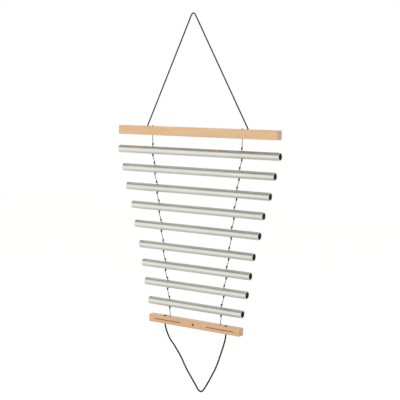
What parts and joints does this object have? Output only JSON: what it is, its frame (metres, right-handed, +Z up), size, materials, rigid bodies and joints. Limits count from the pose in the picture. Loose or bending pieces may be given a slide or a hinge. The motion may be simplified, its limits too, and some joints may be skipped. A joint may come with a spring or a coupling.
{
  "type": "tube chimes",
  "caption": "Ladder of tuned aluminium tubes strung on two knotted side cords between wooden bars, with a hanging cord above and a handle cord below.",
  "frame": {"origin": "where the hanging cord rests on its hook, inside the bend of the cord", "axes": "+X along the tubes to the player's right, +Y away from the front, +Z up"},
  "size_m": [0.42, 0.02, 0.841],
  "materials": {
    "beech": "fine sanded, clear satin",
    "satin_aluminium": "satin anodised",
    "side_cord": "thin braided nylon",
    "hanging_cord": "braided nylon",
    "handle_cord": "braided nylon"
  },
  "bodies": {
    "hanging_cord": {"hanging_cord": "hanging_cord"},
    "top_bar": {"top_bar": "beech", "hanging_knot_left": "hanging_cord", "hanging_knot_right": "hanging_cord", "top_knot_left": "side_cord", "top_knot_right": "side_cord"},
    "cords_1": {"side_cord_left_1": "side_cord", "side_cord_right_1": "side_cord"},
    "tube_1": {"tube_1": "satin_aluminium", "tube_knot_left_1": "side_cord", "tube_knot_right_1": "side_cord"},
    "cords_2": {"side_cord_left_2": "side_cord", "side_cord_right_2": "side_cord"},
    "tube_2": {"tube_2": "satin_aluminium", "tube_knot_left_2": "side_cord", "tube_knot_right_2": "side_cord"},
    "cords_3": {"side_cord_left_3": "side_cord", "side_cord_right_3": "side_cord"},
    "tube_3": {"tube_3": "satin_aluminium", "tube_knot_left_3": "side_cord", "tube_knot_right_3": "side_cord"},
    "cords_4": {"side_cord_left_4": "side_cord", "side_cord_right_4": "side_cord"},
    "tube_4": {"tube_4": "satin_aluminium", "tube_knot_left_4": "side_cord", "tube_knot_right_4": "side_cord"},
    "cords_5": {"side_cord_left_5": "side_cord", "side_cord_right_5": "side_cord"},
    "tube_5": {"tube_5": "satin_aluminium", "tube_knot_left_5": "side_cord", "tube_knot_right_5": "side_cord"},
    "cords_6": {"side_cord_left_6": "side_cord", "side_cord_right_6": "side_cord"},
    "tube_6": {"tube_6": "satin_aluminium", "tube_knot_left_6": "side_cord", "tube_knot_right_6": "side_cord"},
    "cords_7": {"side_cord_left_7": "side_cord", "side_cord_right_7": "side_cord"},
    "tube_7": {"tube_7": "satin_aluminium", "tube_knot_left_7": "side_cord", "tube_knot_right_7": "side_cord"},
    "cords_8": {"side_cord_left_8": "side_cord", "side_cord_right_8": "side_cord"},
    "tube_8": {"tube_8": "satin_aluminium", "tube_knot_left_8": "side_cord", "tube_knot_right_8": "side_cord"},
    "cords_9": {"side_cord_left_9": "side_cord", "side_cord_right_9": "side_cord"},
    "tube_9": {"tube_9": "satin_aluminium", "tube_knot_left_9": "side_cord", "tube_knot_right_9": "side_cord"},
    "cords_10": {"side_cord_left_10": "side_cord", "side_cord_right_10": "side_cord"},
    "bottom_bar": {"bottom_bar": "beech", "foot_knot_left": "side_cord", "foot_knot_right": "side_cord", "handle_knot_left": "handle_cord", "handle_knot_right": "handle_cord"},
    "handle_cord": {"handle_cord": "handle_cord"}
  },
  "joints": [
    {"name": "top_bar_tilt", "type": "hinge", "parent": "hanging_cord", "child": "top_bar", "pos_m": [0.009, 0, -0.2432], "axis": [-1, 0, 0], "range_deg": [-80, 80]},
    {"name": "cords_1_swing", "type": "hinge", "parent": "top_bar", "child": "cords_1", "pos_m": [0.009, 0, -0.26605], "axis": [1, 0, 0], "range_deg": [-85, 85]},
    {"name": "tube_1_swing", "type": "hinge", "parent": "cords_1", "child": "tube_1", "pos_m": [0.009, 0, -0.28965], "axis": [-1, 0, 0], "range_deg": [-80, 80]},
    {"name": "cords_2_swing", "type": "hinge", "parent": "tube_1", "child": "cords_2", "pos_m": [0.009, 0, -0.31425], "axis": [1, 0, 0], "range_deg": [-85, 85]},
    {"name": "tube_2_swing", "type": "hinge", "parent": "cords_2", "child": "tube_2", "pos_m": [0.009, 0, -0.33165], "axis": [-1, 0, 0], "range_deg": [-80, 80]},
    {"name": "cords_3_swing", "type": "hinge", "parent": "tube_2", "child": "cords_3", "pos_m": [0.009, 0, -0.35625], "axis": [1, 0, 0], "range_deg": [-85, 85]},
    {"name": "tube_3_swing", "type": "hinge", "parent": "cords_3", "child": "tube_3", "pos_m": [0.009, 0, -0.37465], "axis": [-1, 0, 0], "range_deg": [-80, 80]},
    {"name": "cords_4_swing", "type": "hinge", "parent": "tube_3", "child": "cords_4", "pos_m": [0.009, 0, -0.39925], "axis": [1, 0, 0], "range_deg": [-85, 85]},
    {"name": "tube_4_swing", "type": "hinge", "parent": "cords_4", "child": "tube_4", "pos_m": [0.009, 0, -0.41715], "axis": [-1, 0, 0], "range_deg": [-80, 80]},
    {"name": "cords_5_swing", "type": "hinge", "parent": "tube_4", "child": "cords_5", "pos_m": [0.009, 0, -0.44175], "axis": [1, 0, 0], "range_deg": [-85, 85]},
    {"name": "tube_5_swing", "type": "hinge", "parent": "cords_5", "child": "tube_5", "pos_m": [0.009, 0, -0.46065], "axis": [-1, 0, 0], "range_deg": [-80, 80]},
    {"name": "cords_6_swing", "type": "hinge", "parent": "tube_5", "child": "cords_6", "pos_m": [0.009, 0, -0.48525], "axis": [1, 0, 0], "range_deg": [-85, 85]},
    {"name": "tube_6_swing", "type": "hinge", "parent": "cords_6", "child": "tube_6", "pos_m": [0.009, 0, -0.50715], "axis": [-1, 0, 0], "range_deg": [-80, 80]},
    {"name": "cords_7_swing", "type": "hinge", "parent": "tube_6", "child": "cords_7", "pos_m": [0.009, 0, -0.53175], "axis": [1, 0, 0], "range_deg": [-85, 85]},
    {"name": "tube_7_swing", "type": "hinge", "parent": "cords_7", "child": "tube_7", "pos_m": [0.009, 0, -0.54965], "axis": [-1, 0, 0], "range_deg": [-80, 80]},
    {"name": "cords_8_swing", "type": "hinge", "parent": "tube_7", "child": "cords_8", "pos_m": [0.009, 0, -0.57425], "axis": [1, 0, 0], "range_deg": [-85, 85]},
    {"name": "tube_8_swing", "type": "hinge", "parent": "cords_8", "child": "tube_8", "pos_m": [0.009, 0, -0.59215], "axis": [-1, 0, 0], "range_deg": [-80, 80]},
    {"name": "cords_9_swing", "type": "hinge", "parent": "tube_8", "child": "cords_9", "pos_m": [0.009, 0, -0.61675], "axis": [1, 0, 0], "range_deg": [-85, 85]},
    {"name": "tube_9_swing", "type": "hinge", "parent": "cords_9", "child": "tube_9", "pos_m": [0.009, 0, -0.63565], "axis": [-1, 0, 0], "range_deg": [-80, 80]},
    {"name": "cords_10_swing", "type": "hinge", "parent": "tube_9", "child": "cords_10", "pos_m": [0.009, 0, -0.66025], "axis": [1, 0, 0], "range_deg": [-85, 85]},
    {"name": "bottom_bar_tilt", "type": "hinge", "parent": "cords_10", "child": "bottom_bar", "pos_m": [0.009, 0, -0.67595], "axis": [-1, 0, 0], "range_deg": [-80, 80]},
    {"name": "handle_swing", "type": "hinge", "parent": "bottom_bar", "child": "handle_cord", "pos_m": [0.009, 0, -0.6961], "axis": [1, 0, 0], "range_deg": [-80, 80]}
  ]
}
